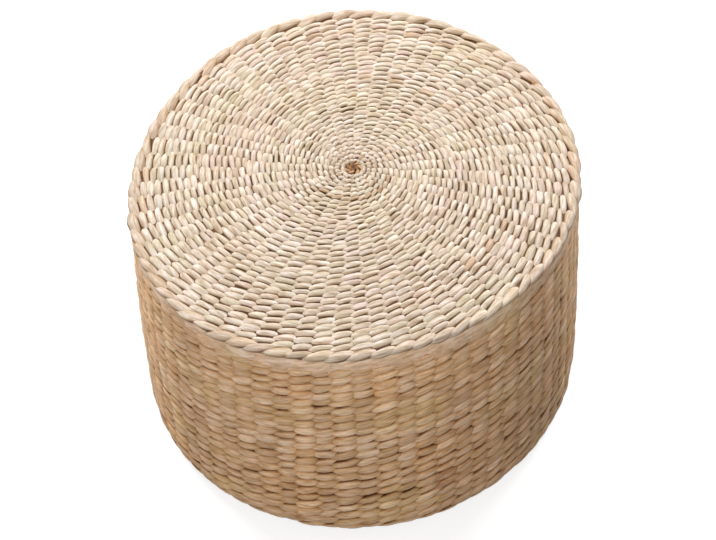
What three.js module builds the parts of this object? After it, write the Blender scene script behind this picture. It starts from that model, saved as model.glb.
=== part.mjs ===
import * as THREE from 'three';
import { mergeVertices } from 'three/addons/utils/BufferGeometryUtils.js';

// A round pouf twined from flat dried leaf strands over stakes that fan out from the middle of
// the top, bend over the rim and run down the side. Millimetres, +Z up. The floor is z = 0 and
// the pouf's middle is on the z axis, with the front of the photograph towards -Y.

const wallRadius = 200;      // crest of the side rows, just under the edge band
const rimTop = 266;          // highest line of the rim braid on an even pouf
const crown = 14;            // rise of the top panel from the rim to the middle
const flare = 4;             // the side grows this much wider from the top to the foot
const belly = 1.5;           // and swells this much halfway up
const footRounding = 17;     // radius where the side turns under
const gap = 0.33;            // between pieces that touch, so that their flat facets stay 0.3 apart
const seatGap = 0.58;        // under the top panel, whose facets are split another way
const sideSegments = 48;

// How far the hand work strays from an even drum. The sizes are at the rim.
const uneven = {
  lean: 6,                   // higher at +X and lower at -X
  saddle: 7,                 // higher along one line through the middle, lower across it
  saddleAngle: (105 * Math.PI) / 180,
  oval: 3,                   // wider along one line through the middle, narrower across it
  ovalAngle: Math.PI / 4,
};

const rope = {
  lumps: 70,                 // one lump over each stake
  radius: 4.9,               // middle of the twisted section
  lobe: 0.75,                // how far the two strands stand out of it
  ringRadius: 195.4,
  sections: 3,               // per lump
  sides: 8,
};
const band = { height: 15, thickness: 4, swell: 1.2 };
const sideRows = { count: 23, depth: 2.1, even: 0.91 };
const topRows = { count: 32, depth: 1.9, even: 0.86, growth: 1.55 };
const panelThickness = 6;
const seatRings = [60, 120];   // where the panel's underside and the drum below it bend
const knot = { radius: 6.5, rise: 1.6, depth: 5, lobes: 5, twist: 1.1 };
const holeSides = 12;
const panelHole = (knot.radius + gap) / Math.cos(Math.PI / holeSides);   // clears the knot
const base = { radius: 172, thickness: 6, edge: 1.5 };

const ropeOuter = rope.radius + rope.lobe;
const ropeMiddle = rimTop - ropeOuter;
const panelRadius = rope.ringRadius - ropeOuter - gap;
const bandTop = rimTop - 2 * ropeOuter - gap;
const bandBottom = bandTop - band.height;
const wallTop = bandBottom - gap;

const material = (name, color, roughness) =>
  new THREE.MeshStandardMaterial({ name, color, roughness, metalness: 0 });
const topLeaf = material('leaf_top', '#dcc4a0', 0.78);
const sideLeaf = material('leaf_side', '#b98f62', 0.8);
const rimLeaf = material('leaf_rim', '#d8bc98', 0.76);
const bandLeaf = material('leaf_band', '#b9926a', 0.72);
const knotLeaf = material('leaf_knot', '#8a5f3a', 0.85);
const baseLeaf = material('leaf_base', '#a98458', 0.85);

// A point of the even drum, moved to where the hand work left it. Heights change in step with
// themselves, so the foot stays flat on the floor.
const woven = (x, y, z) => {
  const angle = Math.atan2(y, x);
  const reach = Math.hypot(x, y) / wallRadius;
  const drawn = 1 + (uneven.oval / wallRadius) * Math.cos(2 * (angle - uneven.ovalAngle));
  const saddle = uneven.saddle * reach ** 2 * Math.cos(2 * (angle - uneven.saddleAngle));
  const rise = uneven.lean * (x / wallRadius) + saddle;
  return new THREE.Vector3(x * drawn, y * drawn, z + rise * (z / rimTop));
};

const sideRadius = (z) => {
  const t = THREE.MathUtils.clamp(z / wallTop, 0, 1);
  return wallRadius + flare * (1 - t) + belly * 4 * t * (1 - t);
};
const domeHeight = (r) => rimTop - 1 + crown * (1 - (r / panelRadius) ** 2);

// A closed body from rings of points. A pole is a ring of one point, and neighbouring rings may
// have different numbers of points.
function bodyOfRings(rings, closed = false) {
  const positions = [];
  const index = [];
  const starts = rings.map((ring) => {
    const start = positions.length / 3;
    ring.forEach((p) => positions.push(p.x, p.y, p.z));
    return start;
  });
  const pairs = closed ? rings.length : rings.length - 1;
  for (let i = 0; i < pairs; i += 1) {
    const next = (i + 1) % rings.length;
    stitch(index, rings[i].length, starts[i], rings[next].length, starts[next]);
  }
  const geometry = new THREE.BufferGeometry();
  geometry.setAttribute('position', new THREE.Float32BufferAttribute(positions, 3));
  geometry.setIndex(index);
  const body = mergeVertices(geometry, 1e-4);
  body.computeVertexNormals();
  return body;
}

// Triangles between two rings, walking round both and always closing the shorter step.
function stitch(index, countA, startA, countB, startB) {
  let a = 0;
  let b = 0;
  while (a < countA || b < countB) {
    const stepA = countA > 1 && a < countA && (countB === 1 || b >= countB
      || (a + 1) / countA <= (b + 1) / countB);
    const pointA = startA + (a % countA);
    const pointB = startB + (b % countB);
    if (stepA) {
      index.push(pointA, startA + ((a + 1) % countA), pointB);
      a += 1;
    } else if (countB > 1) {
      index.push(pointA, startB + ((b + 1) % countB), pointB);
      b += 1;
    }
    if ((countA === 1 || a >= countA) && (countB === 1 || b >= countB)) break;
  }
}

const circle = (r, z, count = sideSegments) => {
  if (r === 0) return [woven(0, 0, z)];
  return Array.from({ length: count }, (_, i) => {
    const angle = (2 * Math.PI * i) / count;
    return woven(r * Math.cos(angle), r * Math.sin(angle), z);
  });
};
const turned = (profile, count) => bodyOfRings(profile.map(([r, z]) => circle(r, z, count)));

// Row edges on the top: rows are narrow in the middle and grow towards the rim.
const topRowEdge = (k) => {
  const t = k / topRows.count;
  const share = topRows.even * t + (1 - topRows.even) * t ** (1 + topRows.growth);
  return panelHole + (panelRadius - panelHole) * share;
};

// The top panel: ring rows raised as ribs on a low dome. Fewer points near the middle.
function topPanel() {
  const around = (r) => {
    if (r < 18) return holeSides;
    return r < 62 ? sideSegments / 2 : sideSegments;
  };
  const rings = [];
  const ring = (r, z) => rings.push(circle(r, z, around(r)));
  ring(panelHole, domeHeight(panelHole) - panelThickness);
  for (let k = 0; k < topRows.count; k += 1) {
    const valley = topRowEdge(k);
    const crest = (valley + topRowEdge(k + 1)) / 2;
    ring(valley, domeHeight(valley) - topRows.depth);
    ring(crest, domeHeight(crest));
  }
  ring(panelRadius, domeHeight(panelRadius) - topRows.depth);
  ring(panelRadius, domeHeight(panelRadius) - panelThickness);
  [...seatRings].reverse().forEach((r) => ring(r, domeHeight(r) - panelThickness));
  return bodyOfRings(rings.reverse(), true);
}

// The brown start of the weave: a low button with a few swirled lobes.
function centreKnot() {
  const top = domeHeight(0);
  const lobed = (r, z, swirl) => circle(r, z, 20).map((p, i) => {
    const angle = (2 * Math.PI * i) / 20;
    const shrink = 1 - 0.07 * (1 - Math.cos(knot.lobes * angle + swirl));
    return new THREE.Vector3(p.x * shrink, p.y * shrink, p.z);
  });
  return bodyOfRings([
    circle(0, top - knot.depth),
    lobed(knot.radius, top - knot.depth, 0),
    lobed(knot.radius, top - 0.6, 0),
    lobed(knot.radius * 0.72, top + knot.rise * 0.7, knot.twist),
    lobed(knot.radius * 0.36, top + knot.rise, 2 * knot.twist),
    circle(0, top + knot.rise * 0.8),
  ]);
}

// The twisted outer row: two strands that change places over every stake. The twist runs from
// outside to inside, going anticlockwise as seen from above.
function rimBraid() {
  const count = rope.lumps * rope.sections;
  const rings = Array.from({ length: count }, (_, i) => {
    const angle = (2 * Math.PI * i) / count;
    return Array.from({ length: rope.sides }, (_side, j) => {
      const around = (2 * Math.PI * j) / rope.sides;
      const strand = Math.cos(2 * around - rope.lumps * angle);
      const reach = rope.radius + rope.lobe * strand;
      const r = rope.ringRadius + reach * Math.cos(around);
      const z = ropeMiddle + reach * Math.sin(around);
      return woven(r * Math.cos(angle), r * Math.sin(angle), z);
    }).reverse();
  });
  return bodyOfRings(rings, true);
}

// The smooth band of laid strands under the rim, slightly swelled.
function edgeBand() {
  const inner = wallRadius - band.thickness;
  const outer = (t) => wallRadius - 0.6 + band.swell * 4 * t * (1 - t);
  const profile = [[inner, bandBottom], [inner, bandTop]];
  [1, 0.8, 0.5, 0.2, 0].forEach((t) => profile.push([outer(t), bandBottom + band.height * t]));
  return bodyOfRings(profile.reverse().map(([r, z]) => circle(r, z)), true);
}

// Points along the side from the band down and round under the foot, by distance.
function sidePath(s) {
  const straight = wallTop - footRounding;
  if (s <= straight) {
    const z = wallTop - s;
    return { r: sideRadius(z), z, outR: 1, outZ: 0 };
  }
  const angle = Math.min((s - straight) / footRounding, Math.PI / 2);
  return {
    r: sideRadius(0) - footRounding * (1 - Math.cos(angle)),
    z: footRounding * (1 - Math.sin(angle)),
    outR: Math.cos(angle),
    outZ: -Math.sin(angle),
  };
}

// The filled drum: side rows raised as ribs that grow towards the floor, a foot ring round the
// base panel's seat, and a plain seat above for the band, the rim and the top panel.
function wovenDrum() {
  const length = wallTop - footRounding + (footRounding * Math.PI) / 2;
  const profile = [];
  const rowEdge = (k) => {
    const t = k / sideRows.count;
    return length * (sideRows.even * t + (1 - sideRows.even) * t ** 2);
  };
  for (let k = 0; k < sideRows.count; k += 1) {
    const valley = sidePath(rowEdge(k));
    const crest = sidePath((rowEdge(k) + rowEdge(k + 1)) / 2);
    const depth = sideRows.depth;
    profile.push([valley.r - depth * valley.outR, valley.z - depth * valley.outZ]);
    profile.push([crest.r, crest.z]);
  }
  const foot = sidePath(length);
  profile.push([foot.r, 0], [base.radius + gap, 0]);
  profile.push([base.radius + gap, base.thickness + gap], [0, base.thickness + gap]);
  const bandInner = wallRadius - band.thickness - gap;
  const ropeSeat = rope.ringRadius - ropeOuter - gap;
  const seat = [0, ...seatRings, ropeSeat].map((r) => [r, domeHeight(r) - panelThickness - seatGap]);
  seat.push([ropeSeat, bandTop], [bandInner, bandTop], [bandInner, wallTop]);
  return turned([...seat, ...profile].reverse());
}

// The plain base panel that the pouf rests on.
function basePanel() {
  return turned([
    [0, 0],
    [base.radius - base.edge, 0],
    [base.radius, base.edge],
    [base.radius, base.thickness],
    [0, base.thickness],
  ]);
}

const pouf = new THREE.Group();
const addPiece = (name, geometry, surface) => {
  const mesh = new THREE.Mesh(geometry, surface);
  mesh.name = name;
  pouf.add(mesh);
};
addPiece('woven_drum', wovenDrum(), sideLeaf);
addPiece('top_panel', topPanel(), topLeaf);
addPiece('centre_knot', centreKnot(), knotLeaf);
addPiece('rim_braid', rimBraid(), rimLeaf);
addPiece('edge_band', edgeBand(), bandLeaf);
addPiece('base_panel', basePanel(), baseLeaf);

export default pouf;
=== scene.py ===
import math

import bpy
import numpy as np
from mathutils import Matrix, Vector


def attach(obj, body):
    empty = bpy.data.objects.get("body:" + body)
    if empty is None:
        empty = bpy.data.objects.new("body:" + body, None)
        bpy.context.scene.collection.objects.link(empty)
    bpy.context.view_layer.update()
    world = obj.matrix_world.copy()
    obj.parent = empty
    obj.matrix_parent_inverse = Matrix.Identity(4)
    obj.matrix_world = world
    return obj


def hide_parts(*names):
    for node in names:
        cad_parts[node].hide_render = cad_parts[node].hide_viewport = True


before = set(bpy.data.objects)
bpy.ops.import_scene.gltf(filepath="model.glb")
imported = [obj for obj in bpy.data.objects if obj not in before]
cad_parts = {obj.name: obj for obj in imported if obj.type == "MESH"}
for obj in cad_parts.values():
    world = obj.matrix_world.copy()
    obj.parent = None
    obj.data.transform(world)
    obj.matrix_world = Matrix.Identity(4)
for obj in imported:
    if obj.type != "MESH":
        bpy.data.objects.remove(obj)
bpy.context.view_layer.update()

mm = 0.001

# The drum's form, the same sizes as the CAD solids. Lengths in metres.
drum = {
    "wallRadius": 200 * mm,      # crest of the side rows, just under the band
    "rimTop": 266 * mm,          # highest line of the rim on an even pouf
    "crown": 14 * mm,            # rise of the top from the rim to the middle
    "flare": 4 * mm,             # the side grows wider towards the foot
    "belly": 1.5 * mm,           # and swells halfway up
    "footRounding": 17 * mm,
    "topDip": 1 * mm,            # the edge of the top lies this far below the rim
}
uneven = {
    "lean": 6 * mm,              # higher at +X, lower at -X
    "saddle": 7 * mm,            # higher along one line through the middle, lower across it
    "saddleAngle": math.radians(105),
    "oval": 3 * mm,              # wider along one line through the middle, narrower across it
    "ovalAngle": math.radians(45),
}
ropeRing = {"radius": 195.4 * mm, "reach": 5.65 * mm}    # the rim's middle, and half its height
bandHeight = 15 * mm
gap = 0.3 * mm                   # between neighbouring forms, a hair less than in the CAD

panelRadius = ropeRing["radius"] - ropeRing["reach"] - gap
ropeMiddle = drum["rimTop"] - ropeRing["reach"]
bandTop = drum["rimTop"] - 2 * ropeRing["reach"] - gap
wallTop = bandTop - bandHeight - gap
straightWall = wallTop - drum["footRounding"]
sideLength = straightWall + drum["footRounding"] * math.pi / 2


# The section runs from the middle of the top outwards, down the side and in under the base. Each
# profile takes a distance along its own stretch of it, and gives radius, height and the outward
# normal there.

def topProfile(v):
    share = v / panelRadius
    z = drum["rimTop"] - drum["topDip"] + drum["crown"] * (1 - share ** 2)
    slope = 2 * drum["crown"] * v / panelRadius ** 2
    return v, z, slope, np.ones_like(v)


# The rim is level on its inner side and rounded on the outside; v is 0 where that begins.
def rimProfile(v):
    angle = np.maximum(v, 0) / rim["rounding"]
    r = ropeRing["radius"] + rim["rounding"] * np.sin(angle) + np.minimum(v, 0)
    z = drum["rimTop"] - rim["rounding"] * (1 - np.cos(angle))
    return r, z, np.sin(angle), np.cos(angle)


def bandProfile(v):
    shoulder = band["shoulder"]
    turn = np.clip(1 - v / shoulder, 0, 1) * math.radians(band["shoulderTurn"])
    swell = band["swell"] * np.sin(np.clip((v - band["lap"]) / bandHeight, 0, 1) * math.pi)
    r = drum["wallRadius"] - band["sunk"] + swell - shoulder * (1 - np.cos(turn))
    return r, bandTop + band["lap"] - v, np.cos(turn), np.sin(turn)


def sideRadius(z):
    t = np.clip(z / wallTop, 0, 1)
    return drum["wallRadius"] + drum["flare"] * (1 - t) + drum["belly"] * 4 * t * (1 - t)


def sideProfile(v):
    z = wallTop - v
    foot = drum["footRounding"]
    turn = np.clip((v - straightWall) / foot, 0, math.pi / 2)
    turned = v > straightWall
    r = np.where(turned, sideRadius(0 * v) - foot * (1 - np.cos(turn)), sideRadius(z))
    z = np.where(turned, foot * (1 - np.sin(turn)), z)
    return r, z, np.cos(turn), -np.sin(turn)


def baseProfile(v):
    return base["outer"] - v, 0 * v, 0 * v, -np.ones_like(v)


# A point of the even drum, moved to where the hand work left it. The foot is pressed flat.
def handWoven(u, r, z):
    reach = r / drum["wallRadius"]
    saddle = uneven["saddle"] * reach ** 2 * np.cos(2 * (u - uneven["saddleAngle"]))
    rise = (uneven["lean"] * reach * np.cos(u) + saddle) * z / drum["rimTop"]
    drawn = r * (1 + uneven["oval"] / drum["wallRadius"] * np.cos(2 * (u - uneven["ovalAngle"])))
    return np.stack([drawn * np.cos(u), drawn * np.sin(u), np.maximum(z + rise, 0)], axis=-1)


# u is the angle round the pouf, v the distance along the section, h the height off the surface.
def onSurface(profile, u, v, h):
    r, z, outR, outZ = profile(v)
    return handWoven(u, r + h * outR, z + h * outZ)


# Shader graphs: a wire is one output socket, and Python's operators add Math nodes to it.

class Wire:
    def __init__(self, graph, socket):
        self.graph = graph
        self.socket = socket

    def maths(self, operation, first, second):
        return self.graph.node("ShaderNodeMath", {"operation": operation}, {0: first, 1: second})

    def __add__(self, other):
        return self.maths("ADD", self, other)

    def __radd__(self, other):
        return self.maths("ADD", other, self)

    def __sub__(self, other):
        return self.maths("SUBTRACT", self, other)

    def __rsub__(self, other):
        return self.maths("SUBTRACT", other, self)

    def __mul__(self, other):
        return self.maths("MULTIPLY", self, other)

    def __rmul__(self, other):
        return self.maths("MULTIPLY", other, self)

    def __pow__(self, other):
        return self.maths("POWER", self, other)

    def __rpow__(self, other):
        return self.maths("POWER", other, self)


class Graph:
    def __init__(self, owner, shaderType="BSDF_PRINCIPLED"):
        owner.use_nodes = True
        self.owner = owner                       # a material or a world
        self.tree = owner.node_tree
        self.shader = next(n for n in self.tree.nodes if n.type == shaderType)

    def socketOf(self, sockets, key):
        if isinstance(key, int):
            return sockets[key]
        return next(s for s in sockets if s.name == key and s.enabled)

    def plug(self, target, value):
        if isinstance(value, Wire):
            self.tree.links.new(value.socket, target)
        else:
            target.default_value = value

    def node(self, kind, settings=None, inputs=None, out=None):
        node = self.tree.nodes.new(kind)
        for key, value in (settings or {}).items():
            if key == "stops":
                self.setStops(node.color_ramp, value)
            else:
                setattr(node, key, value)
        for key, value in (inputs or {}).items():
            self.plug(self.socketOf(node.inputs, key), value)
        outputs = [s for s in node.outputs if s.enabled]
        return Wire(self, outputs[0] if out is None else self.socketOf(node.outputs, out))

    def setStops(self, ramp, stops):
        while len(ramp.elements) < len(stops):
            ramp.elements.new(1)
        for element, (place, colour) in zip(ramp.elements, stops):
            element.position = place
            element.color = colour

    def blend(self, how, factor, first, second):
        settings = {"data_type": "RGBA", "blend_type": how}
        return self.node("ShaderNodeMix", settings, {"Factor": factor, "A": first, "B": second})

    def feed(self, name, value):
        self.plug(self.shader.inputs[name], value)


# A screen colour, 0 to 255, as the linear values that the nodes take.
def linear(red, green, blue):
    def one(c):
        c /= 255
        return c / 12.92 if c <= 0.04045 else ((c + 0.055) / 1.055) ** 2.4
    return np.array([one(red), one(green), one(blue)])


leaf = {
    "creaseSpread": 0.22, "leastCrease": 0.2,        # painted crease shade: strong on some grains, faint on others
    "fibresPerMetre": (90, 420),             # along and across a strand
    "fibreDetail": 4.0, "fibreGrit": 0.6,
    "fibreTint": 0.75,
    "redPower": 0.75, "bluePower": 1.45,     # dark fibres are warmer and pale ones are cream
    "blotchesPerMetre": 90, "blotchDetail": 3.0,
    "blotchTint": 0.2,
    "tintsPerMetre": 18, "tintDetail": 2.0,  # drifts of colour, several grains wide
    "stainsPerMetre": (34, 34, 85), "stainDetail": 3.0,      # the stains run along the rows
    "stainEdge": (0.59, 0.69),               # of the noise, from no stain to a full one
    "stain": (*linear(166, 102, 58), 1),
    "stainHeight": 150 * mm, "stainAbove": 0.3,      # they fade to this share at that height
    "roughnessSpread": 0.25,
    "bump": 0.7,
    "bumpHeight": 0.8 * mm,
    "gloss": 0.15,
}


# Painted shade: from the crest of a grain, over its warm flanks, down to the dark between the
# grains.
flanks = {
    "pale": [(0.0, (1, 1, 1, 1)), (0.25, (0.97, 0.95, 0.92, 1)), (0.55, (0.75, 0.65, 0.54, 1)),
             (1.0, (0.13, 0.075, 0.04, 1))],
    "rim": [(0.0, (1, 1, 1, 1)), (0.25, (0.97, 0.94, 0.9, 1)), (0.55, (0.78, 0.66, 0.53, 1)),
            (1.0, (0.15, 0.08, 0.04, 1))],
    "tan": [(0.0, (1, 1, 1, 1)), (0.25, (0.95, 0.91, 0.85, 1)), (0.55, (0.74, 0.61, 0.46, 1)),
            (1.0, (0.13, 0.065, 0.03, 1))],
}
# Slow drifts of hue, redder at one end and greener at the other.
tints = {
    "pale": [(0.36, (1.01, 0.99, 0.99, 1)), (0.5, (1, 1, 1, 1)), (0.64, (0.99, 1.0, 0.96, 1))],
    "rim": [(0.36, (1.01, 0.98, 0.98, 1)), (0.5, (1, 1, 1, 1)), (0.64, (0.99, 1.0, 0.97, 1))],
    "tan": [(0.36, (1.01, 0.96, 0.9, 1)), (0.46, (1.0, 0.99, 1.0, 1)), (0.54, (1, 1, 1, 1)),
            (0.64, (0.98, 1.0, 0.9, 1))],
}


def leafMaterial(name, roughness, kind, stained=0.0):
    g = Graph(bpy.data.materials.new(name))
    tone = g.node("ShaderNodeAttribute", {"attribute_name": "tone"}, out="Color")
    depth = g.node("ShaderNodeAttribute", {"attribute_name": "depth"}, out="Fac")
    strand = g.node("ShaderNodeUVMap", {"uv_map": "strand"})
    along, across = leaf["fibresPerMetre"]
    stretched = g.node("ShaderNodeVectorMath", {"operation": "MULTIPLY"},
                       {0: strand, 1: (along, across, 1)})
    fibres = g.node("ShaderNodeTexNoise", {"noise_dimensions": "2D"},
                    {"Vector": stretched, "Scale": 1.0, "Detail": leaf["fibreDetail"],
                     "Roughness": leaf["fibreGrit"]})
    place = g.node("ShaderNodeTexCoord", out="Object")
    blotch = g.node("ShaderNodeTexNoise", {"noise_dimensions": "3D"},
                    {"Vector": place, "Scale": leaf["blotchesPerMetre"],
                     "Detail": leaf["blotchDetail"]})
    shade = 1 + (fibres - 0.5) * (2 * leaf["fibreTint"]) + (blotch - 0.5) * (2 * leaf["blotchTint"])
    streaks = g.node("ShaderNodeCombineColor", None, {
        "Red": shade ** leaf["redPower"], "Green": shade, "Blue": shade ** leaf["bluePower"]})
    colour = g.blend("MULTIPLY", 1.0, tone, streaks)
    drift = g.node("ShaderNodeTexNoise", {"noise_dimensions": "3D"},
                   {"Vector": place, "Scale": leaf["tintsPerMetre"], "Detail": leaf["tintDetail"]})
    drifted = g.node("ShaderNodeValToRGB", {"stops": tints[kind]}, {"Fac": drift}, out="Color")
    colour = g.blend("MULTIPLY", 1.0, colour, drifted)
    if stained:
        drawn = g.node("ShaderNodeVectorMath", {"operation": "MULTIPLY"},
                       {0: place, 1: leaf["stainsPerMetre"]})
        patches = g.node("ShaderNodeTexNoise", {"noise_dimensions": "3D"},
                         {"Vector": drawn, "Scale": 1.0, "Detail": leaf["stainDetail"]})
        bare, full = leaf["stainEdge"]
        spread = g.node("ShaderNodeMapRange", {"clamp": True}, {
            "Value": patches, "From Min": bare, "From Max": full, "To Min": 0.0, "To Max": stained})
        height = g.node("ShaderNodeSeparateXYZ", None, {"Vector": place}, out="Z")
        lowDown = g.node("ShaderNodeMapRange", {"clamp": True}, {
            "Value": height, "From Min": 0.0, "From Max": leaf["stainHeight"],
            "To Min": 1.0, "To Max": leaf["stainAbove"]})
        colour = g.blend("MIX", spread * lowDown, colour, leaf["stain"])
    # painted shade: the depth attribute darkens the colour from crest to crease with these ramps
    shaded = g.node("ShaderNodeValToRGB", {"stops": flanks[kind]}, {"Fac": depth}, out="Color")
    g.feed("Base Color", g.blend("MULTIPLY", 1.0, colour, shaded))
    g.feed("Roughness", roughness + (fibres - 0.5) * leaf["roughnessSpread"])
    bump = g.node("ShaderNodeBump", None, {
        "Strength": leaf["bump"], "Distance": leaf["bumpHeight"], "Height": fibres})
    g.feed("Normal", bump)
    g.feed("Specular IOR Level", leaf["gloss"])
    return g.owner


backing = {
    "lumpsPerMetre": 240.0, "detail": 4.0,
    # dark colours painted as the shade in the gaps between the grains
    "shadeBrowns": [(0.3, (*linear(82, 55, 34), 1)), (0.75, (*linear(132, 94, 62), 1))],
    "roughness": 0.9,
    "bump": 0.5,
    "bumpHeight": 0.5 * mm,
}


def backingMaterial():
    g = Graph(bpy.data.materials.new("leaf_backing"))
    place = g.node("ShaderNodeTexCoord", out="Object")
    lumps = g.node("ShaderNodeTexNoise", None, {
        "Vector": place, "Scale": backing["lumpsPerMetre"], "Detail": backing["detail"]})
    brown = g.node("ShaderNodeValToRGB", {"stops": backing["shadeBrowns"]}, {"Fac": lumps}, out="Color")
    g.feed("Base Color", brown)
    g.feed("Roughness", backing["roughness"])
    g.feed("Normal", g.node("ShaderNodeBump", None, {
        "Strength": backing["bump"], "Distance": backing["bumpHeight"], "Height": lumps}))
    return g.owner


# A grain is one visible turn of a strand over a stake. It comes up at its head, on the side of
# its row that is further along the section, crosses over, and dips at its tail under the next
# head. All grains of a piece are one joined mesh.
class Grains:
    keys = ("u", "v", "head", "tail", "slant", "width", "thick", "lift", "bend", "phase", "crease",
            "tone")

    def __init__(self):
        self.lists = {key: [] for key in self.keys}

    def add(self, **values):
        for key in self.keys:
            self.lists[key].append(values[key])

    def column(self, key):
        return np.asarray(self.lists[key], float)[:, None, None]

    def __len__(self):
        return len(self.lists["u"])


# What the grains of all the pieces have in common.
grainForm = {
    "lumpTurn": 2.6, "lumpShift": 5,     # swellings: radians to either end, and per phase
    "dropPower": 2.3,                    # how late the ends go down
    "folds": 3,                          # round the section
    "girthPower": 0.7,                   # the thickness tapers later than the width
    "beneath": 0.5,                      # depth of the underside, a share of the upper side's
    "bendMiddle": 0.3,                   # keeps a bent grain in the middle of its row
    "leastRadius": 1 * mm,               # counted for grains right in the middle
}


# Places from head, -1, to tail, 1, closer together at the ends.
def stationsAlong(shape):
    t = np.linspace(-1, 1, shape["stations"] + 2)
    crowding = math.pi / 2 * shape["crowding"]
    return np.sin(t * crowding) / math.sin(crowding)


# Turns a circle's sine or cosine into a squarer section's: the lower the power, the squarer.
def squared(value, power):
    return np.sign(value) * np.abs(value) ** power


# A shape gives a grain's taper at head and tail as two powers each, how far either end drops, in
# thicknesses, and how much painted shade falls on its long edges and on its ends, which dip under
# the next grain. That painted shade, the depth, runs from 0 on the crest to 1 between the grains.
def grainPoints(profile, grains, shape):
    a = stationsAlong(shape)[None, :, None]
    phi = np.radians(shape["section"])[None, None, :]
    ahead = np.abs(a)
    blunt, power = shape["headTaper"]
    point, ease = shape["tailTaper"]
    share = np.where(a < 0, (1 - ahead ** blunt) ** power, (1 - ahead ** point) ** ease)
    phase = grains.column("phase")
    swelling = np.sin(grainForm["lumpTurn"] * a + grainForm["lumpShift"] * phase)
    share = share * (1 + shape["lumps"] * swelling)
    drop = np.where(a < 0, shape["headDrop"], shape["tailDrop"]) * ahead ** grainForm["dropPower"]
    width, thick = grains.column("width"), grains.column("thick")
    fold = 1 + shape["fold"] * np.cos(grainForm["folds"] * phi + shape["twist"] * a + phase)
    side = squared(np.cos(phi), shape["square"]) * width / 2 * share * fold
    up = squared(np.sin(phi), shape["square"]) * np.where(np.sin(phi) > 0, 1, grainForm["beneath"])
    girth = share ** grainForm["girthPower"]
    full = thick / 2 * girth
    h = grains.column("lift") - thick * drop - full + up * full * fold
    along = np.where(a < 0, a * grains.column("head"), a * grains.column("tail"))
    v0 = grains.column("v")
    radius = np.maximum(profile(v0)[0], grainForm["leastRadius"])
    slant = grains.column("slant")
    turn = np.arctan2(-slant, radius)
    u = grains.column("u") + along - np.sin(turn) * side / radius
    bent = grains.column("bend") * (a ** 2 - grainForm["bendMiddle"])
    v = v0 - slant * along + bent + np.cos(turn) * side
    # Painted shade, strongest at the long edges, towards the tail and at the ends, where shade
    # falls between the grains.
    sunk = shape["edgeShade"] * (1 - up) * girth * (1 + shape["lowerEdgeShade"] * np.cos(phi))
    sunk = sunk * grains.column("crease") * (1 + shape["tailwardShade"] * a)
    headEndShade, tailEndShade, late = shape["endShade"]
    endShading = np.where(a < 0, headEndShade, tailEndShade) * ahead ** late
    depth = np.clip(sunk + endShading, 0, 1)
    reach = (grains.column("head") + grains.column("tail")) / 2 * radius
    return onSurface(profile, u, v, h), depth + 0 * u, reach[:, 0, 0]


# Each grain is rings of quads from station to station, closed by a fan at either end. The
# arrays named At hold where each corner lies along and round its grain, for the two maps.
def grainMesh(name, profile, grains, shape):
    points, depth, reach = grainPoints(profile, grains, shape)
    count, n, c = len(grains), shape["stations"], len(shape["section"])
    inside = slice(1, -1)
    verts = np.concatenate([points[:, inside].reshape(count, n * c, 3),
                            points[:, [0, -1]].mean(axis=2)], axis=1)
    depths = np.concatenate([depth[:, inside].reshape(count, n * c),
                             depth[:, [0, -1]].mean(axis=2)], axis=1)
    size = n * c + 2
    i, j = [grid.ravel() for grid in np.meshgrid(np.arange(n - 1), np.arange(c), indexing="ij")]
    ring = np.arange(c)
    after = (ring + 1) % c
    zero, one, last = 0 * ring, 1 + 0 * ring, n + 0 * ring
    here, further, beside = i * c, (i + 1) * c, (j + 1) % c
    quads = np.stack([here + j, here + beside, further + beside, further + j], -1)
    quadAt = np.stack([np.stack([i + 1, j], -1), np.stack([i + 1, j + 1], -1),
                       np.stack([i + 2, j + 1], -1), np.stack([i + 2, j], -1)], -2)
    head = np.stack([zero + n * c, after, ring], -1)
    headAt = np.stack([np.stack([zero, ring + 0.5], -1), np.stack([one, ring + 1], -1),
                       np.stack([one, ring], -1)], -2)
    tail = np.stack([zero + n * c + 1, (n - 1) * c + ring, (n - 1) * c + after], -1)
    tailAt = np.stack([np.stack([last + 1, ring + 0.5], -1), np.stack([last, ring], -1),
                       np.stack([last, ring + 1], -1)], -2)
    start = (np.arange(count) * size)[:, None, None]
    parts, partsAt = (quads, head, tail), (quadAt, headAt, tailAt)
    corners = np.concatenate([(part[None] + start).ravel() for part in parts])
    cornerAt = np.concatenate([np.tile(at.reshape(-1, 2), (count, 1)) for at in partsAt])
    grainOf = np.concatenate([np.repeat(np.arange(count), part.size) for part in parts])
    totals = np.concatenate([np.full(count * len(quads), 4), np.full(count * 2 * c, 3)])
    mesh = bpy.data.meshes.new(name)
    mesh.vertices.add(count * size)
    mesh.vertices.foreach_set("co", verts.astype(np.float32).ravel())
    mesh.loops.add(len(corners))
    mesh.loops.foreach_set("vertex_index", corners.astype(np.int32))
    mesh.polygons.add(len(totals))
    starts = np.concatenate([[0], np.cumsum(totals)[:-1]])
    mesh.polygons.foreach_set("loop_start", starts.astype(np.int32))
    mesh.polygons.foreach_set("use_smooth", np.ones(len(totals), bool))
    mesh.update(calc_edges=True)
    addStrandMap(mesh, grains, shape, grainOf, cornerAt, reach)
    addAtlas(mesh, count, shape, grainOf, cornerAt)
    tones = np.ones((count, size, 4), np.float32)
    tones[:, :, :3] = np.asarray(grains.lists["tone"], np.float32)[:, None, :]
    mesh.attributes.new("tone", "FLOAT_COLOR", "POINT").data.foreach_set("color", tones.ravel())
    # the painted shade, for the leaf material
    depths = depths.astype(np.float32).ravel()
    mesh.attributes.new("depth", "FLOAT", "POINT").data.foreach_set("value", depths)
    return mesh


# Strand coordinates in metres, for the fibres. Each grain has its own place in the pattern.
strandMap = {
    "wayRound": 2.2,             # in widths of the grain
    "shift": 0.037,              # metres along, per radian of the grain's phase
    "acrossShift": 3,            # times as far across
}


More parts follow.
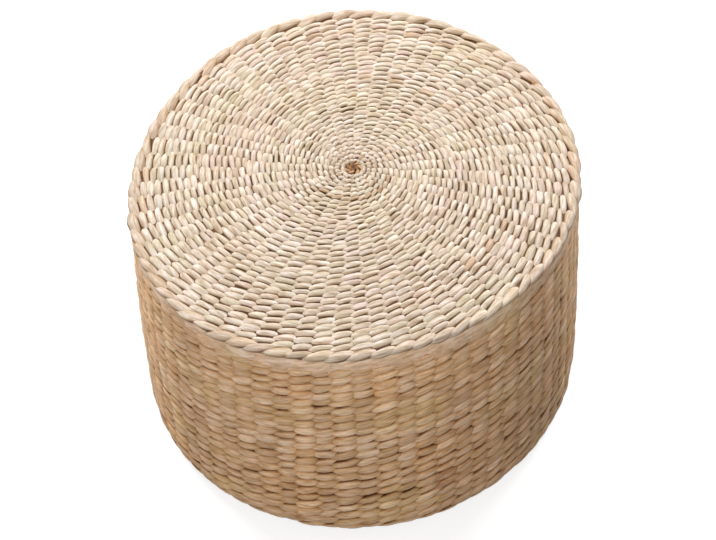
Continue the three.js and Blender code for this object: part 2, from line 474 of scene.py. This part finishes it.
def addStrandMap(mesh, grains, shape, grainOf, cornerAt, reach):
    along = (cornerAt[:, 0] / (shape["stations"] + 1) * 2 - 1) * reach[grainOf]
    wide = np.asarray(grains.lists["width"], float)[grainOf]
    across = cornerAt[:, 1] / len(shape["section"]) * strandMap["wayRound"] * wide
    across = across + shape["fibreSlant"] * along
    offset = np.asarray(grains.lists["phase"], float)[grainOf] * strandMap["shift"]
    places = np.stack([along + offset, across + offset * strandMap["acrossShift"]], -1)
    places = places.astype(np.float32)
    mesh.uv_layers.new(name="strand").uv.foreach_set("vector", places.ravel())


# Every grain has its own cell of the unit square.
def addAtlas(mesh, count, shape, grainOf, cornerAt):
    cells = math.ceil(math.sqrt(count))
    margin = 0.06
    across = margin + (1 - 2 * margin) * cornerAt / (shape["stations"] + 1, len(shape["section"]))
    places = (np.stack([grainOf % cells, grainOf // cells], -1) + across) / cells
    mesh.uv_layers.new(name="OFBake").uv.foreach_set("vector", places.astype(np.float32).ravel())


def addPiece(name, mesh, material, slotName, *nodes):
    piece = bpy.data.objects.new(name, mesh)
    bpy.context.scene.collection.objects.link(piece)
    mesh.materials.append(material)
    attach(piece, "root")
    if nodes:
        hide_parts(*nodes)
    return piece


# Leaf colours and how often each is laid in. A strand keeps its colour and its girth for a run
# of grains, then a new leaf begins.
palette = {
    "top": [(linear(215, 200, 183), 12), (linear(210, 193, 174), 6), (linear(213, 194, 179), 3),
            (linear(209, 196, 175), 2), (linear(218, 205, 190), 2), (linear(207, 184, 161), 0.6),
            (linear(199, 172, 147), 0.2)],
    "side": [(linear(235, 198, 160), 8), (linear(228, 190, 151), 6), (linear(246, 213, 179), 3),
             (linear(218, 179, 139), 2)],
    "rim": [(linear(209, 191, 172), 6), (linear(205, 184, 162), 3), (linear(208, 187, 168), 2),
            (linear(202, 180, 156), 1)],
    "band": [(linear(243, 208, 174), 4), (linear(236, 199, 163), 2), (linear(246, 214, 184), 2)],
    "knot": [(linear(142, 104, 71), 3), (linear(106, 74, 48), 2), (linear(188, 153, 118), 2)],
}


# Two strands take turns over the stakes of a row, each with a run of its own.
class Strands:
    def __init__(self, rng, name, spread=0.025, girthSpread=0.09, runs=(7, 18)):
        self.rng = rng
        self.colours = np.array([colour for colour, _ in palette[name]])
        weights = np.array([weight for _, weight in palette[name]], float)
        self.weights = weights / weights.sum()
        self.spread = spread
        self.girthSpread = girthSpread
        self.runs = runs
        self.left = [0, 0]
        self.now = [None, None]

    def next(self, parity):
        if self.left[parity] <= 0:
            self.left[parity] = self.rng.integers(*self.runs)
            pick = self.rng.choice(len(self.colours), p=self.weights)
            colour = self.colours[pick] * (1 + self.rng.normal(0, self.spread))
            self.now[parity] = (colour, 1 + self.rng.normal(0, self.girthSpread))
        self.left[parity] -= 1
        colour, girth = self.now[parity]
        return colour * (1 + self.rng.normal(0, self.spread)), girth


# Slow waver of the rows, woven by eye: waves round the pouf, how high each is, and how many
# radians it turns by per metre along the section.
rowWaver = {
    "seed": 11,
    "waves": ((2, 1.0), (3, 0.9), (5, 0.7), (8, 0.45), (13, 0.3)),
    "turnPerMetre": (10, 45),
    "height": 0.5,
}
waves = np.random.default_rng(rowWaver["seed"])
waverTerms = [(m, waves.uniform(*rowWaver["turnPerMetre"]), waves.uniform(0, 2 * math.pi), a)
              for m, a in rowWaver["waves"]]


def waver(u, v):
    return sum(a * np.sin(m * u + k * v + p) for m, k, p, a in waverTerms) * rowWaver["height"]


# How much the grains of a row differ: shares of a stake span, of the pitch, or of the size.
whims = {"along": 0.02, "across": 0.04, "length": 0.06, "slant": 0.2, "girth": 0.06, "bend": 0.05}


# One row: a grain over the stake at each angle, as far along the section as its place in v says.
# The head reaches back towards the stake before, and the tail towards the next one. Both are in
# stake spans, width and thickness in row pitches, the slant in pitches per span, and the
# unevenness in metres.
def layRow(grains, s, rng, angles, v, pitch, strands):
    n = len(angles)
    after = (np.roll(angles, -1) - angles) % (2 * math.pi)
    for i in range(n):
        tone, girth = strands.next(i % 2)
        span = (after[i - 1] + after[i]) / 2
        grains.add(
            u=angles[i] + rng.normal(0, whims["along"]) * span,
            v=v[i] + rng.normal(0, whims["across"]) * pitch,
            head=s["head"] * after[i - 1] * (1 + rng.normal(0, whims["length"])),
            tail=s["tail"] * after[i] * (1 + rng.normal(0, whims["length"])),
            slant=s["slant"] * pitch / span * (1 + rng.normal(0, whims["slant"])),
            width=s["width"] * pitch * girth * (1 + rng.normal(0, whims["girth"])),
            thick=s["thick"] * pitch * girth * (1 + rng.normal(0, whims["girth"])),
            lift=-abs(rng.normal(0, s["unevenness"])),
            bend=rng.normal(0, whims["bend"]) * pitch,
            phase=rng.uniform(0, 2 * math.pi),
            # how strong this grain's painted crease shade is
            crease=max(leaf["leastCrease"], rng.normal(1, leaf["creaseSpread"])),
            tone=tone)


# The angles after and before each one, all the way round.
def neighbours(edges):
    ahead = np.append(edges[1:], edges[0] + 2 * math.pi)
    behind = np.append(edges[-1] - 2 * math.pi, edges[:-1])
    return ahead, behind


# The stakes fan out, told here from the rim inwards: in a row with too many, the two that stand
# closest become one, and over the next rows its neighbours spread to even out.
def stakeRows(counts, rng):
    n = counts[-1]
    whim = topWeave["stakeWhim"]
    edges = 2 * math.pi * (np.arange(n) + rng.uniform(-whim, whim, n)) / n
    rows = []
    for target in reversed(counts):
        while len(edges) > target:
            ahead, behind = neighbours(edges)
            crowding = (ahead - behind) * (1 + rng.uniform(0, topWeave["mergeWhim"], len(edges)))
            edges = np.delete(edges, np.argmin(crowding))
        ahead, behind = neighbours(edges)
        rows.append((edges + ahead) / 2)
        edges = edges + topWeave["evening"] * ((ahead + behind) / 2 - edges)
    return rows[::-1]


# Degrees round a grain's section: from its outer edge over the top to its inner edge, with one
# point beneath.
upperSection = (-12, 14, 38, 60, 82, 104, 126, 150, 176, 200, 270)

topWeave = {
    "seed": 3,
    "rows": 32,
    "even": 0.86, "growth": 1.55,        # share of the even part, and how late the rest grows
    "inner": 6.8 * mm,
    "outer": panelRadius + 1.6 * mm,
    # how many at each share of the way out to the side
    "stakes": [(0.0, 18), (0.1, 24), (0.3, 38), (0.42, 46), (0.52, 52), (0.62, 60), (0.7, 70)],
    "stakeWhim": 0.1, "mergeWhim": 0.5, "evening": 0.3,
    "innerRows": 18,         # in the first of the two meshes
    "runs": (2, 9),
    "head": 0.72, "tail": 0.8,
    "slant": 0.48,
    "width": 1.05,
    "thick": 1.2,
    "unevenness": 0.3 * mm,
    "waver": 0.9 * mm,
    "calm": (60 * mm, 20 * mm),      # the waver dies out over these, to the middle and the rim
    "creaseShades": (1.3, 0.94),  # painted crease shade, stronger in the middle than by the rim
    "roughness": 0.62,
    "shape": {
        "stations": 8, "section": upperSection, "crowding": 0.85,
        "headTaper": (3.2, 0.48), "tailTaper": (3.6, 0.42), "headDrop": 0.45, "tailDrop": 0.55,
        "square": 0.9, "fold": 0.08, "twist": 2.0, "lumps": 0.08, "fibreSlant": 0.18,
        # painted shade at the long edges and the tail's end, a little more on the outer edge and
        # towards the tail
        "edgeShade": 1.35, "endShade": (0, 0.1, 3), "lowerEdgeShade": 0.1, "tailwardShade": 0.1,
    },
}


def topRowEdge(k):
    t = k / topWeave["rows"]
    share = topWeave["even"] * t + (1 - topWeave["even"]) * t ** (1 + topWeave["growth"])
    return topWeave["inner"] + (topWeave["outer"] - topWeave["inner"]) * share


def stakeCount(share):
    places, counts = zip(*topWeave["stakes"])
    return int(round(np.interp(share, places, counts)))


def weaveTop():
    s = topWeave
    rng = np.random.default_rng(s["seed"])
    toMiddle, toRim = s["calm"]
    middles = [(topRowEdge(k) + topRowEdge(k + 1)) / 2 for k in range(s["rows"])]
    rows = stakeRows([stakeCount(m / drum["wallRadius"]) for m in middles], rng)
    inner, outer = Grains(), Grains()
    for k, angles in enumerate(rows):
        pitch = topRowEdge(k + 1) - topRowEdge(k)
        grains = inner if k < s["innerRows"] else outer
        ease = min(1, middles[k] / toMiddle, (panelRadius - middles[k]) / toRim)
        v = middles[k] + s["waver"] * ease * waver(angles, middles[k])
        layRow(grains, s, rng, angles, v, pitch, Strands(rng, "top", runs=s["runs"]))
        # the painted crease shade of this row
        depth = np.interp(middles[k] / panelRadius, (0, 1), s["creaseShades"])
        for i in range(-len(angles), 0):         # the row just laid
            grains.lists["crease"][i] *= depth
    material = leafMaterial("leaf_top", s["roughness"], "pale")
    for name, grains in (("top_weave_inner", inner), ("top_weave_outer", outer)):
        addPiece(name, grainMesh(name, topProfile, grains, s["shape"]), material, "top_leaf",
                 "top_panel")
    print("top woven,", len(inner) + len(outer), "grains")
    return rows[-1]


sideWeave = {
    "seed": 5,
    "rows": 23,
    "even": 0.91,            # share of the rows' even part; the rest grows downwards
    "rise": 8 * mm,          # the first row lies over the lower edge of the band
    "upperRows": 12,         # in the first of the two meshes
    "runs": (5, 14), "girthSpread": 0.06,
    "footRows": 4,           # the last rows are pressed flatter and longer
    "footThick": 0.65,
    "footLength": 1.3,
    "creaseShadeDown": 0.5,           # the painted crease shade grows by this share of itself, top to bottom
    "footShade": 0.12,          # and painted shade darkens the leaf towards the foot
    "head": 0.68, "tail": 0.78,
    "slant": 0.45,
    "width": 1.12,
    "thick": 0.62,
    "proud": (-0.7 * mm, 0.2 * mm),      # from the lowest column to the one that stands out most
    "proudHighlight": 0.13,            # which is painted that much paler, a painted highlight where it catches the light
    "sway": 0.06,            # of the columns, in stake spans
    "swayRows": 5, "swayShift": 1.3,     # rows per radian, and radians per column
    "unevenness": 0.4 * mm,
    "waver": 1.1 * mm,
    "waverFrom": 0.2,        # metres along the section, about where the top ends
    "roughness": 0.58,
    "stained": 0.75,
    "shape": {
        "stations": 8, "section": upperSection, "crowding": 0.85,
        "headTaper": (3.6, 0.45), "tailTaper": (4.0, 0.4), "headDrop": 0.3, "tailDrop": 0.45,
        "square": 0.9, "fold": 0.08, "twist": 1.6, "lumps": 0.1, "fibreSlant": 0.12,
        # painted shade at the long edges and at both ends, between the columns; more on the upper
        # edge, as painted shadow of the row above, and towards the tail
        "edgeShade": 1.38, "endShade": (0.65, 0.9, 2.6), "lowerEdgeShade": -0.3, "tailwardShade": 0.3,
    },
}


def sideRowEdge(k):
    t = k / sideWeave["rows"]
    share = sideWeave["even"] * t + (1 - sideWeave["even"]) * t ** 2
    return (sideLength + sideWeave["rise"]) * share - sideWeave["rise"]


def weaveSide(stakeAngles):
    s = sideWeave
    rng = np.random.default_rng(s["seed"])
    sway = s["sway"] * 2 * math.pi / len(stakeAngles)
    shifts = s["swayShift"] * np.arange(len(stakeAngles))
    proud = rng.uniform(*s["proud"], len(stakeAngles))
    # a painted highlight on the columns that stand out
    proudHighlight = 1 + s["proudHighlight"] * ((proud - proud.min()) / (proud.max() - proud.min()) - 0.5)
    upper, lower = Grains(), Grains()
    for k in range(s["rows"]):
        pitch = sideRowEdge(k + 1) - sideRowEdge(k)
        middle = (sideRowEdge(k) + sideRowEdge(k + 1)) / 2
        angles = stakeAngles + sway * np.sin(k / s["swayRows"] + shifts)
        v = middle + s["waver"] * waver(angles, s["waverFrom"] + middle)
        strands = Strands(rng, "side", girthSpread=s["girthSpread"], runs=s["runs"])
        grains = upper if k < s["upperRows"] else lower
        down = k / (s["rows"] - 1)
        pressed = max(0, (k + 1 - s["rows"]) / s["footRows"] + 1)
        flat = 1 - (1 - s["footThick"]) * pressed
        long = 1 + (s["footLength"] - 1) * pressed
        row = dict(s, thick=s["thick"] * flat, head=s["head"] * long, tail=s["tail"] * long)
        layRow(grains, row, rng, angles, v, pitch, strands)
        for i in range(-len(angles), 0):         # the row just laid
            grains.lists["lift"][i] += proud[i] * flat
            # painted crease shade, growing towards the foot
            grains.lists["crease"][i] *= 1 + s["creaseShadeDown"] * (down - 0.5)
            # painted shade towards the foot, and a painted highlight on the proud columns
            grains.lists["tone"][i] = grains.lists["tone"][i] * proudHighlight[i] * (1 - s["footShade"] * down)
    material = leafMaterial("leaf_side", s["roughness"], "tan", stained=s["stained"])
    for name, grains in (("side_weave_upper", upper), ("side_weave_lower", lower)):
        addPiece(name, grainMesh(name, sideProfile, grains, s["shape"]), material, "side_leaf",
                 "woven_drum")
    print("side woven,", len(upper) + len(lower), "grains")


rim = {
    "seed": 7,
    "rounding": 9 * mm,      # of the section that the grains lie on
    "middle": 1.8 * mm,      # of the row, outwards from where the rounding begins
    "runs": (1, 4), "girthSpread": 0.1,
    "head": 0.84, "tail": 0.96,
    "slant": 0.36,
    "pitch": 12.6 * mm,
    "width": 1.06,
    "thick": 0.64,
    "slim": 0.84,            # width of every other grain, as a share
    "steeper": 1.4,          # its slant
    "inwards": 0.5 * mm,     # and how far it sits towards the middle of the top
    "unevenness": 0.2 * mm,
    "roughness": 0.6,
    "shape": {
        "stations": 12, "section": upperSection, "crowding": 0.85,
        "headTaper": (2.0, 0.55), "tailTaper": (2.5, 0.5), "headDrop": 0.4, "tailDrop": 0.7,
        "square": 0.9, "fold": 0.08, "twist": 2.4, "lumps": 0.08, "fibreSlant": 0.2,
        # painted shade at the long edges and the tail's end, more on the outer edge, as painted
        # shadow over the band
        "edgeShade": 1.6, "endShade": (0, 0.3, 3), "lowerEdgeShade": 0.3, "tailwardShade": 0.1,
    },
}


def weaveRim(stakeAngles):
    rng = np.random.default_rng(rim["seed"])
    strands = Strands(rng, "rim", runs=rim["runs"], girthSpread=rim["girthSpread"])
    grains = Grains()
    middle = np.full(len(stakeAngles), rim["middle"])
    layRow(grains, rim, rng, stakeAngles, middle, rim["pitch"], strands)
    for i in range(1, len(grains), 2):
        grains.lists["width"][i] *= rim["slim"]
        grains.lists["slant"][i] *= rim["steeper"]
        grains.lists["v"][i] -= rim["inwards"]
    addPiece("rim_weave", grainMesh("rim_weave", rimProfile, grains, rim["shape"]),
             leafMaterial("leaf_rim", rim["roughness"], "rim"), "rim_leaf", "rim_braid")
    print("rim woven")


band = {
    "seed": 9,
    "strips": 56, "spacingWhim": 0.15,
    "runs": (1, 3),
    "lap": 8.5 * mm,         # how far the band reaches up under the rim
    "lowerLap": 0.5 * mm,    # and down over the first side row
    "shoulder": 8 * mm,      # the band leans inwards over this length
    "shoulderTurn": 45,      # by this many degrees
    "sunk": 1.0 * mm,        # below the crest of the side rows
    "swell": 0.4 * mm,       # halfway down what shows of it
    "head": 1.1, "tail": 1.5,
    "slant": 0.24,
    "width": 0.9,
    "thick": 0.23,
    "unevenness": 0.5 * mm,
    "roughness": 0.55,
    "shape": {
        "stations": 14, "section": (-8, 8, 22, 40, 65, 90, 115, 140, 158, 172, 188, 270),
        "crowding": 0.8, "headTaper": (2.0, 0.7), "tailTaper": (1.8, 0.6), "headDrop": 0.3,
        "tailDrop": 0.5, "square": 0.6, "fold": 0.07, "twist": 0.8, "lumps": 0.04,
        # painted shade at the long edges and the tail's end
        "fibreSlant": 0.05, "edgeShade": 1.0, "endShade": (0, 0.2, 3), "lowerEdgeShade": 0.0,
        "tailwardShade": 0.0,
    },
}


def layBand():
    rng = np.random.default_rng(band["seed"])
    grains = Grains()
    n, whim = band["strips"], band["spacingWhim"]
    angles = 2 * math.pi * (np.arange(n) + rng.uniform(-whim, whim, n)) / n
    height = bandHeight + band["lap"] + band["lowerLap"]
    middle = np.full(n, height / 2)
    layRow(grains, band, rng, angles, middle, height, Strands(rng, "band", runs=band["runs"]))
    addPiece("band_strips", grainMesh("band_strips", bandProfile, grains, band["shape"]),
             leafMaterial("leaf_band", band["roughness"], "tan"), "band_leaf", "edge_band")
    print("band laid")


base = {
    "seed": 13,
    "outer": 186 * mm,
    "inner": 1.5 * mm,
    "rows": 19,
    "turns": ((110 * mm, 70), (45 * mm, 35), (0, 18)),       # grains in a row beyond each radius
    "head": 0.6, "tail": 0.8,
    "slant": 0.42,
    "width": 1.14,
    "thick": 0.3,
    "unevenness": 0.15 * mm,
    "shade": 0.85,           # of the side's colours
    "roughness": 0.75,
    "shape": {
        "stations": 5, "section": (-10, 25, 60, 90, 120, 155, 190, 270), "crowding": 0.85,
        "headTaper": (2.2, 0.55), "tailTaper": (1.9, 0.7), "headDrop": 0.35, "tailDrop": 0.7,
        "square": 0.8, "fold": 0.04, "twist": 1.5, "lumps": 0.05, "fibreSlant": 0.1,
        # painted shade at the long edges and the tail's end
        "edgeShade": 1.0, "endShade": (0, 0.4, 3), "lowerEdgeShade": 0.0, "tailwardShade": 0.1,
    },
}


def weaveBase():
    rng = np.random.default_rng(base["seed"])
    pitch = (base["outer"] - base["inner"]) / base["rows"]
    grains = Grains()
    for k in range(base["rows"]):
        v = (k + 0.5) * pitch
        radius = base["outer"] - v
        count = next(turns for least, turns in base["turns"] if radius > least)
        angles = 2 * math.pi * (np.arange(count) + 0.5) / count
        layRow(grains, base, rng, angles, np.full(count, v), pitch, Strands(rng, "side"))
    grains.lists["tone"] = [tone * base["shade"] for tone in grains.lists["tone"]]
    addPiece("base_weave", grainMesh("base_weave", baseProfile, grains, base["shape"]),
             leafMaterial("leaf_base", base["roughness"], "tan"), "base_leaf", "base_panel")
    print("base woven")


knot = {
    "seed": 17,
    "rings": [(7, 5.6 * mm, 3.4 * mm), (4, 2.2 * mm, 3.2 * mm)],     # turns, radius, girth
    "strays": 0.9 * mm, "spacingWhim": 0.2,
    "runs": (1, 2),
    "head": 0.6, "tail": 0.75, "slant": 1.1, "width": 1.0, "thick": 0.7, "unevenness": 0.5 * mm,
    "roughness": 0.7,
    "shape": {
        "stations": 10, "section": upperSection, "crowding": 0.85,
        "headTaper": (1.8, 0.6), "tailTaper": (1.5, 0.8), "headDrop": 0.3, "tailDrop": 0.6,
        "square": 0.85, "fold": 0.08, "twist": 2.0, "lumps": 0.08, "fibreSlant": 0.2,
        # painted shade at the long edges and the tail's end
        "edgeShade": 1.2, "endShade": (0, 0.5, 3), "lowerEdgeShade": 0.0, "tailwardShade": 0.1,
    },
}


def tieKnot():
    rng = np.random.default_rng(knot["seed"])
    whim = knot["spacingWhim"]
    grains = Grains()
    for turns, radius, girth in knot["rings"]:
        angles = 2 * math.pi * (np.arange(turns) + rng.uniform(-whim, whim, turns)) / turns
        places = radius + rng.uniform(-1, 1, turns) * knot["strays"]
        layRow(grains, knot, rng, angles, places, girth, Strands(rng, "knot", runs=knot["runs"]))
    addPiece("knot_turns", grainMesh("knot_turns", topProfile, grains, knot["shape"]),
             leafMaterial("leaf_knot", knot["roughness"], "tan"), "knot_leaf", "centre_knot")
    print("knot tied")


# The filled body behind the weave; its dark brown is painted shade, seen between the grains.
body = {
    "around": 140,                       # points in a ring
    "inset": 4.0 * mm, "topInset": 2.8 * mm, "rimInset": 2.9 * mm,
    "rimAngles": (70, 40, 10, -20),      # degrees round the section of the rim
    "sideFrom": 0.2,                     # rows down the side
    "topRings": 16, "bandRings": 4, "sideRings": 26,
}


def fillBody():
    section = []
    for v in np.linspace(0, panelRadius, body["topRings"]):
        r, z, _, _ = topProfile(v)
        section.append((float(r), float(z) - body["topInset"]))
    for angle in np.radians(body["rimAngles"]):
        reach = ropeRing["reach"] - body["rimInset"]
        section.append((ropeRing["radius"] + reach * math.cos(angle),
                        ropeMiddle + reach * math.sin(angle)))
    for v in np.linspace(band["lap"], bandHeight, body["bandRings"]):
        r, z, _, _ = bandProfile(v)
        section.append((float(r) - body["inset"], float(z)))
    for v in np.linspace(sideRowEdge(body["sideFrom"]), sideLength, body["sideRings"]):
        r, z, outR, outZ = sideProfile(np.array(v))
        section.append((float(r - body["inset"] * outR), float(z - body["inset"] * outZ)))
    section.append((0.0, body["inset"]))
    n = body["around"]
    u = 2 * math.pi * np.arange(n) / n
    rings = [handWoven(u, r, z) for r, z in section[1:-1]]
    poles = [handWoven(0.0, r, z)[None] for r, z in (section[0], section[-1])]
    verts = np.concatenate([poles[0], *rings, poles[1]])
    faces = [(0, 1 + i, 1 + (i + 1) % n) for i in range(n)]
    for k in range(len(rings) - 1):
        low, high = 1 + k * n, 1 + (k + 1) * n
        faces += [(low + i, high + i, high + (i + 1) % n, low + (i + 1) % n) for i in range(n)]
    last = 1 + (len(rings) - 1) * n
    faces += [(last + (i + 1) % n, last + i, len(verts) - 1) for i in range(n)]
    mesh = bpy.data.meshes.new("filled_body")
    mesh.from_pydata([tuple(p) for p in verts], [], faces)
    mesh.polygons.foreach_set("use_smooth", [True] * len(faces))
    piece = addPiece("filled_body", mesh, backingMaterial(), "side_leaf", "woven_drum")
    print("body filled")


stakeAngles = weaveTop()
weaveSide(stakeAngles)
weaveRim(stakeAngles)
layBand()
weaveBase()
tieKnot()
fillBody()


# Floor, light and camera.
studio = {
    "floorSize": 12,
    "floorColour": (0.35, 0.35, 0.35, 1),
    "floorGlow": 0.76,
    "backdropRadius": 5.9, "backdropHeight": 9, "backdropSides": 96,
    "backdropColour": (0, 0, 0, 1), "backdropGlow": 1.0,
    "stageRoughness": 0.9,
    "skyAbove": 0.38, "skyBelow": 0.06,
    "skyEdge": (-0.05, 0.3),             # it brightens between these, as sines of the elevation
    "skyColour": (1, 0.955, 0.9, 1),
    # degrees round from the front to the right, and up, as seen from the middle of the top
    "lamps": {
        "front": {"round": -20, "up": 22, "away": 2.7, "size": 0.9, "power": 28},
        "backLeft": {"round": -138, "up": 35, "away": 2.6, "size": 0.7, "power": 55},
        "backRight": {"round": 139, "up": 35, "away": 2.6, "size": 0.7, "power": 51},
    },
}


# Even light from all round, stronger from above.
def setSky():
    g = Graph(bpy.data.worlds.new("studio"), "BACKGROUND")
    direction = g.node("ShaderNodeTexCoord", out="Generated")
    height = g.node("ShaderNodeSeparateXYZ", None, {"Vector": direction}, out="Z")
    dim, bright = studio["skyEdge"]
    g.feed("Strength", g.node("ShaderNodeMapRange", None, {
        "Value": height, "From Min": dim, "From Max": bright,
        "To Min": studio["skyBelow"], "To Max": studio["skyAbove"]}))
    g.feed("Color", studio["skyColour"])
    bpy.context.scene.world = g.owner


def setLamps():
    middle = Vector((0, 0, drum["rimTop"]))
    for name, setting in studio["lamps"].items():
        turn, up = math.radians(setting["round"]), math.radians(setting["up"])
        level = math.cos(up)
        towards = Vector((math.sin(turn) * level, -math.cos(turn) * level, math.sin(up)))
        lamp = bpy.data.lights.new(name, "AREA")
        lamp.size = setting["size"]
        lamp.energy = setting["power"]
        light = bpy.data.objects.new(name, lamp)
        light.location = middle + towards * setting["away"]
        light.rotation_euler = towards.to_track_quat("Z", "Y").to_euler()
        bpy.context.scene.collection.objects.link(light)


def stageMaterial(name, colour, glow):
    g = Graph(bpy.data.materials.new(name))
    g.feed("Base Color", colour)
    g.feed("Roughness", studio["stageRoughness"])
    g.feed("Specular IOR Level", 0)
    g.feed("Emission Color", (1, 1, 1, 1))
    g.feed("Emission Strength", glow)
    return g.owner


def setStudio():
    bpy.ops.mesh.primitive_plane_add(size=studio["floorSize"])
    floor = bpy.context.object
    floor.name = "floor"
    floor.data.materials.append(stageMaterial("floor", studio["floorColour"], studio["floorGlow"]))
    floor.visible_diffuse = False            # a white floor that throws no light up at the sides
    tall = studio["backdropHeight"]
    bpy.ops.mesh.primitive_cylinder_add(
        vertices=studio["backdropSides"], radius=studio["backdropRadius"], depth=tall,
        end_fill_type="NOTHING", location=(0, 0, tall / 2))
    backdrop = bpy.context.object
    backdrop.name = "backdrop"
    paper = stageMaterial("backdrop", studio["backdropColour"], studio["backdropGlow"])
    backdrop.data.materials.append(paper)
    backdrop.visible_diffuse = False         # the light of the sky passes through it
    backdrop.visible_glossy = False
    backdrop.visible_shadow = False
    setSky()
    setLamps()
    bpy.context.scene.view_settings.view_transform = "Standard"


# The camera, fitted to the outline. Angles are in degrees, the sensor is in millimetres, and the
# distances are in metres.
view = {
    "imageWidth": 716,
    "sensorWidth": 36,
    "focalPixels": 2434,
    "elevation": 51.85,
    "roll": -2.8,
    "distance": 2.247,
    "aimHeight": 133 * mm,
}


def setCamera():
    elevation = math.radians(view["elevation"])
    roll = math.radians(view["roll"])
    forward = Vector((0, math.cos(elevation), -math.sin(elevation)))
    right = Vector((1, 0, 0))
    up = right.cross(forward)
    rightRolled = right * math.cos(roll) + up * math.sin(roll)
    upRolled = up * math.cos(roll) - right * math.sin(roll)
    camera = bpy.data.cameras.new("camera")
    camera.sensor_width = view["sensorWidth"]
    camera.lens = view["sensorWidth"] * view["focalPixels"] / view["imageWidth"]
    eye = bpy.data.objects.new("camera", camera)
    turn = Matrix((rightRolled, upRolled, -forward)).transposed().to_4x4()
    place = Vector((0, 0, view["aimHeight"])) - forward * view["distance"]
    eye.matrix_world = Matrix.Translation(place) @ turn
    bpy.context.scene.collection.objects.link(eye)
    bpy.context.scene.camera = eye


setStudio()
setCamera()
print("studio set")
